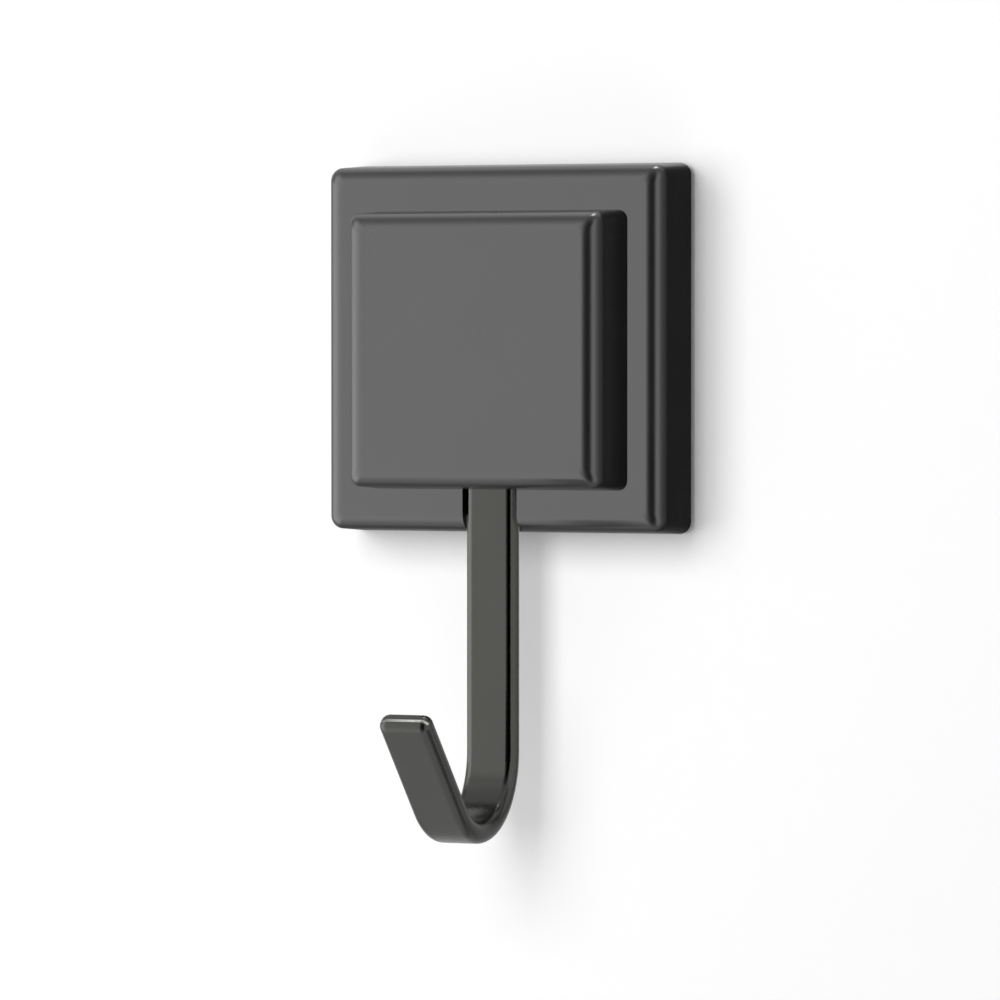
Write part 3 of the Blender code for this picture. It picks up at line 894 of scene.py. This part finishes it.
def make_world():
    """The studio that the gloss reflects, and an even ambient light for everything else."""
    world = bpy.data.worlds.new("studio")
    bpy.context.scene.world = world
    world.use_nodes = True
    world.cycles.sampling_method = "NONE"
    tree = world.node_tree
    nodes = tree.nodes
    links = tree.links

    place = nodes.new("ShaderNodeTexCoord").outputs["Generated"]
    parts = nodes.new("ShaderNodeSeparateXYZ")
    links.new(place, parts.inputs["Vector"])
    x, y, z = parts.outputs
    azimuth = math_node(tree, "ARCTAN2", x, math_node(tree, "MULTIPLY", y, -1))

    higher = [(turn, LEFT_AWAY if turn < LEFT_UP_TO else bright) for turn, bright in AROUND]
    low_sides = profile(tree, azimuth, AROUND)
    high_sides = profile(tree, azimuth, higher)
    sides = blend(tree, fade(tree, z, *LEFT_EDGE), low_sides, high_sides)
    above = fade(tree, y, *ABOVE_TURN, *ABOVE)
    sides_and_above = blend(tree, fade(tree, z, *ABOVE_EDGE), sides, above)
    below = fade(tree, y, *BELOW_TURN, *BELOW)
    room = blend(tree, fade(tree, z, *BELOW_EDGE, 1, 0), sides_and_above, below)

    path = nodes.new("ShaderNodeLightPath")
    glossy = blend(tree, path.outputs["Is Glossy Ray"], 1, room)
    strength = blend(tree, seen_rays(tree), AMBIENT, glossy)
    links.new(strength, nodes["Background"].inputs["Strength"])
    nodes["Background"].inputs["Color"].default_value = (1, 1, 1, 1)


# Lamps: azimuth and elevation in degrees, distance, width and height in metres, and radiance. The keys are
# a soft box in two halves ahead on the left, and back_fill lights the back.
PLAIN_LAMPS = {
    "key_wide": (-28, 8, 1.0, 0.42, 0.8, 4.75),
    "key_near": (-4, 12, 1.0, 0.34, 0.74, 5.9),
    "back_fill": (180, 36, 1.0, 0.8, 0.8, 1.5),
}

# Lamps that show in the gloss alone: one for the tiles' upper right corners, the others for the bar only
GLINT_LAMPS = {
    "glint": (160, 80, 0.8, 0.2, 0.16, 20),
}
BAR_LAMPS = {
    "bar_left": (-68, 0, 0.8, 0.82, 1.0, 1.7),
    "bar_right": (104, 0, 0.8, 0.84, 1.0, 1.4),
    "bar_low": (90, -84, 0.35, 0.5, 0.38, 0.5),
    "bar_front": (-20, -66, 0.35, 0.5, 0.6, 0.6),
    "bar_top": (0, 86, 0.5, 0.8, 0.8, 0.7),
    "bar_rear": (180, -14, 0.8, 2.0, 1.5, 0.58),
}

# The pieces that don't stand in a lamp's way
HOUSING_AND_WALL = ("block_shell", "plate_shell", "wall")
SHINES_PAST = {
    "key_wide": ("block_shell", "bar"),
    "key_near": ("block_shell",),
    "back_fill": ("wall",),
    "glint": HOUSING_AND_WALL,
    "bar_right": HOUSING_AND_WALL,
    "bar_low": HOUSING_AND_WALL,
    "bar_top": HOUSING_AND_WALL,
    "bar_rear": HOUSING_AND_WALL,
}


def direction(azimuth, elevation):
    """A unit vector away from the hook: azimuth 0 is straight out of the wall, positive to the right."""
    level = math.cos(elevation)
    return Vector((math.sin(azimuth) * level, -math.cos(azimuth) * level, math.sin(elevation)))


def soft_box(name, azimuth, elevation, distance, width, height, radiance):
    """A soft rectangular lamp that faces the hook and is hidden from the camera."""
    lamp = bpy.data.lights.new(name, "AREA")
    lamp.shape = "RECTANGLE"
    lamp.size = width
    lamp.size_y = height
    lamp.energy = radiance * math.pi * width * height
    made = bpy.data.objects.new(name, lamp)
    away = direction(math.radians(azimuth), math.radians(elevation))
    made.location = away * distance
    made.rotation_euler = away.to_track_quat("Z", "Y").to_euler()
    made.visible_camera = False
    bpy.context.scene.collection.objects.link(made)
    return made


def pick(names, state):
    """A collection of pieces for light linking."""
    made = bpy.data.collections.new("picked")
    for name in names:
        made.objects.link(bpy.data.objects[name])
    for entry in made.collection_objects:
        entry.light_linking.link_state = state
    return made


def make_lights():
    """The lamps, each with what it lights and what it shines past."""
    for name, values in PLAIN_LAMPS.items():
        soft_box(name, *values).visible_glossy = False
    for name, values in {**GLINT_LAMPS, **BAR_LAMPS}.items():
        soft_box(name, *values).visible_diffuse = False
    for name in BAR_LAMPS:
        bpy.data.objects[name].light_linking.receiver_collection = pick(("bar",), "INCLUDE")
    for name, pieces in SHINES_PAST.items():
        bpy.data.objects[name].light_linking.blocker_collection = pick(pieces, "EXCLUDE")
    bpy.data.objects["block_shell"].visible_glossy = False


# Camera, as fitted to the photograph's outlines: it aims right of and below the plate's middle, and its
# focal length is a multiple of the sensor's width
CAMERA_AZIMUTH = math.radians(23)
CAMERA_DISTANCE = 0.9857
CAMERA_AIM_RIGHT = 0.00135
CAMERA_AIM_DOWN = 0.0245
FOCAL_MULTIPLE = 6.1
SENSOR = 36.0


def make_camera():
    """A camera on the right, level with the plate and turned slightly down to frame the whole hook."""
    lens = bpy.data.cameras.new("camera")
    lens.sensor_width = SENSOR
    lens.lens = FOCAL_MULTIPLE * SENSOR
    camera = bpy.data.objects.new("camera", lens)
    bpy.context.scene.collection.objects.link(camera)
    face_middle = Vector((0, -PLATE_FACE, 0))
    out = direction(CAMERA_AZIMUTH, 0.0)
    right = Vector((math.cos(CAMERA_AZIMUTH), math.sin(CAMERA_AZIMUTH), 0))
    camera.location = face_middle + out * CAMERA_DISTANCE
    aim = face_middle + right * CAMERA_AIM_RIGHT - Vector((0, 0, CAMERA_AIM_DOWN))
    camera.rotation_euler = (aim - camera.location).to_track_quat("-Z", "Y").to_euler()
    bpy.context.scene.camera = camera


def main():
    """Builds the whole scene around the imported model."""
    plastic = housing_finish()
    make_plate(plastic)
    make_block(plastic)
    make_bar(bar_finish())
    make_pad(foam_finish())
    keep_nodes(cover_finish(), ["back_plate"])
    keep_nodes(zinc_finish(), BACK_SCREWS + CLAMP_SCREWS + WASHERS)
    make_stage()
    make_world()
    make_lights()
    make_camera()
    bpy.context.scene.view_settings.view_transform = "Standard"


main()
